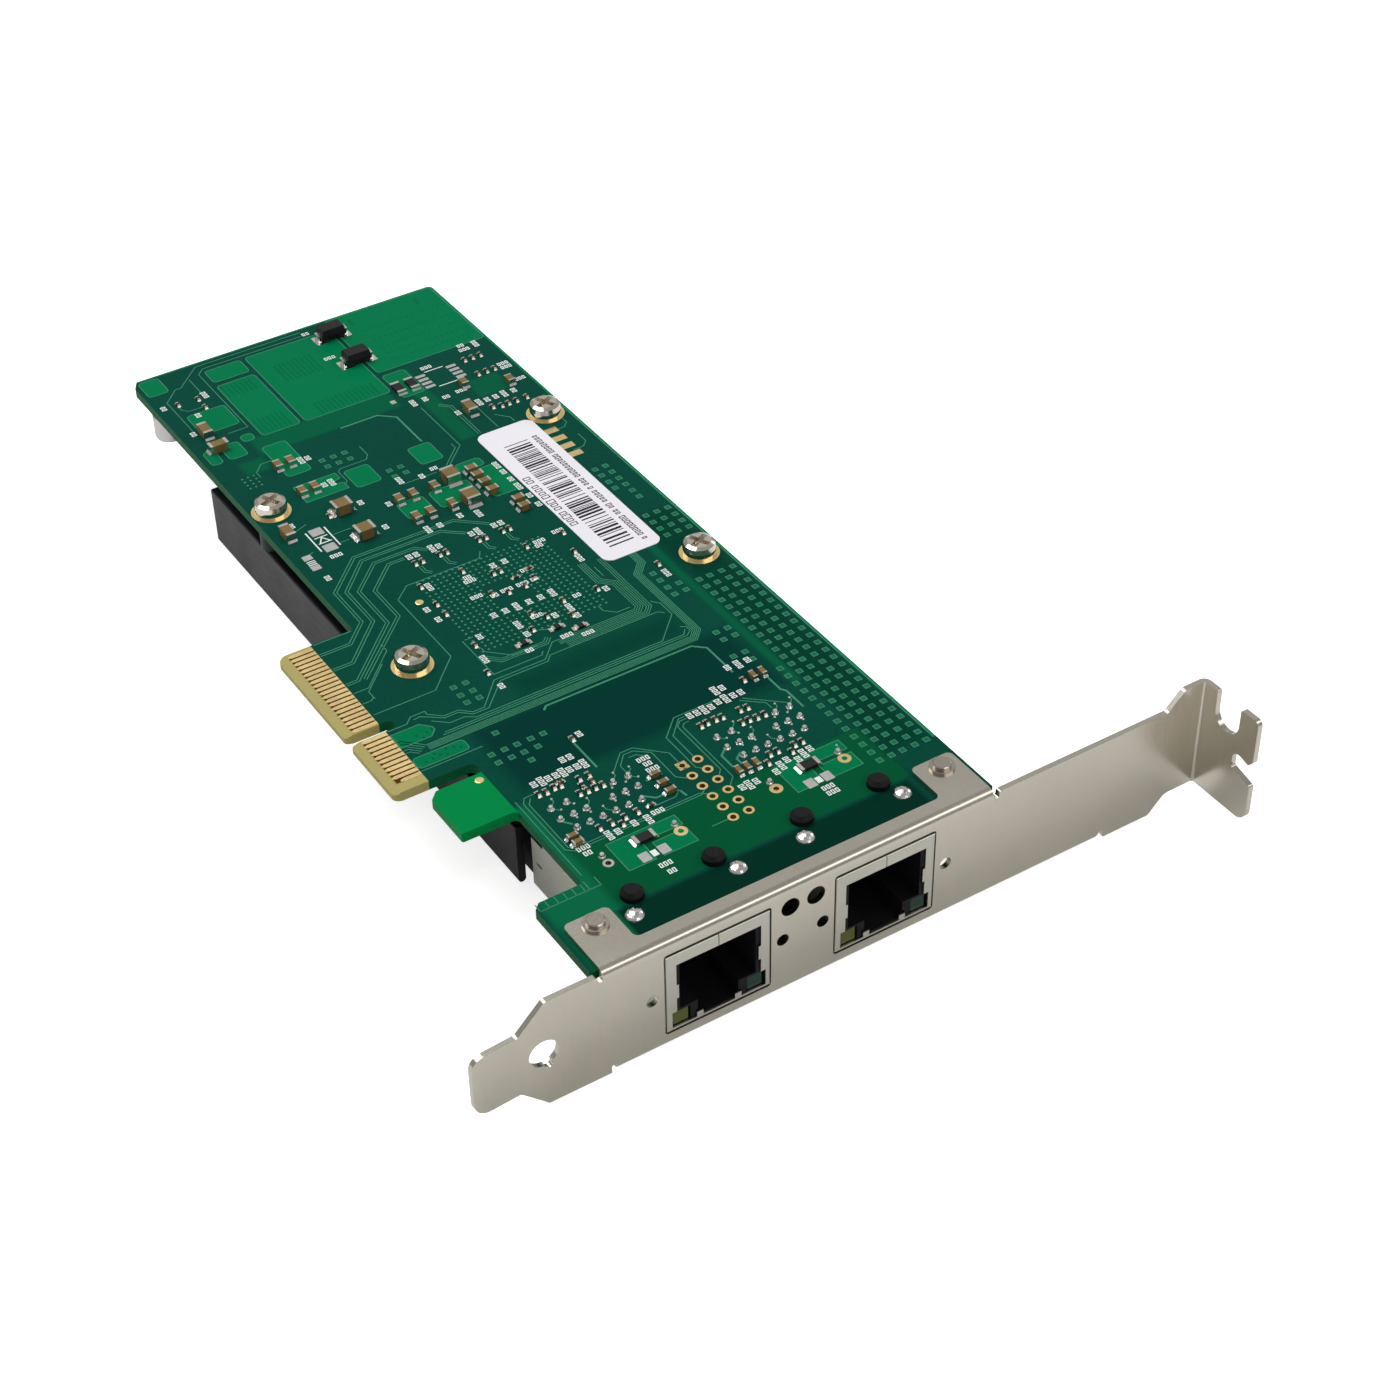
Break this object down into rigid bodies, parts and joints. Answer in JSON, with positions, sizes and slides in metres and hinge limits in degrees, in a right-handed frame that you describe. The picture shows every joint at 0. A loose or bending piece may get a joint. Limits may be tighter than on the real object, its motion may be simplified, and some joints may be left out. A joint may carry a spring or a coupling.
{
  "type": "network interface card",
  "caption": "Low-profile circuit board on a full-height slot bracket, with shielded network jacks, a four-lane edge connector and a finned heat sink.",
  "frame": {"origin": "tip of the edge connector, at the middle of its key notch and halfway through the board", "axes": "+X from the connector up the board, +Y from the bracket along the board, +Z from the component side to the solder side"},
  "size_m": [0.12, 0.1724, 0.0213],
  "materials": {
    "board_laminate": "green lacquer over copper, satin",
    "contact_gold": "thin gold over nickel",
    "bracket_steel": "plated sheet, satin",
    "rivet_steel": "plated, satin",
    "shield_steel": "plated sheet, satin",
    "housing_plastic": "moulded, matt",
    "lamp_yellow": "clear tinted",
    "lamp_green": "clear tinted",
    "spring_gold": "thin gold over nickel",
    "magnetics_resin": "cast resin",
    "pin_tin": "tinned",
    "sink_aluminium": "black anodised, matt",
    "screw_steel": "plated, bright",
    "chip_resin": "moulded, matt",
    "pad_silicone": "soft, matt",
    "label_film": "smooth film",
    "ceramic_brown": "fired ceramic, satin",
    "end_tin": "tinned",
    "resistor_black": "glazed",
    "lead_tin": "tinned",
    "can_aluminium": "drawn, satin",
    "can_base_plastic": "moulded, matt",
    "crystal_metal": "plated lid",
    "coil_grey": "pressed powder"
  },
  "bodies": {
    "root": {"circuit_board": "board_laminate", "edge_contacts_solder_side": "contact_gold", "edge_contacts_component_side": "contact_gold", "bracket": "bracket_steel", "bracket_rivets": "rivet_steel", "heat_sink": "sink_aluminium", "heat_sink_screws": "screw_steel", "heat_sink_standoffs": "sink_aluminium", "controller_chip": "chip_resin", "thermal_pad": "pad_silicone", "label": "label_film", "large_capacitor_bodies": "ceramic_brown", "large_capacitor_ends": "end_tin", "small_capacitor_bodies": "ceramic_brown", "small_capacitor_ends": "end_tin", "resistor_bodies": "resistor_black", "resistor_ends": "end_tin", "diode_bodies": "chip_resin", "diode_leads": "lead_tin", "can_capacitor": "can_aluminium", "can_capacitor_base": "can_base_plastic", "memory_chip": "chip_resin", "crystal": "crystal_metal", "regulator_chips": "chip_resin", "regulator_coils": "coil_grey", "power_coil": "coil_grey", "power_transistors": "chip_resin", "jack_shield_left": "shield_steel", "jack_housing_left": "housing_plastic", "jack_lamp_yellow_left": "lamp_yellow", "jack_lamp_green_left": "lamp_green", "jack_contacts_left": "spring_gold", "jack_magnetics_left": "magnetics_resin", "jack_pins_left": "pin_tin", "jack_shield_right": "shield_steel", "jack_housing_right": "housing_plastic", "jack_lamp_yellow_right": "lamp_yellow", "jack_lamp_green_right": "lamp_green", "jack_contacts_right": "spring_gold", "jack_magnetics_right": "magnetics_resin", "jack_pins_right": "pin_tin"}
  },
  "joints": []
}
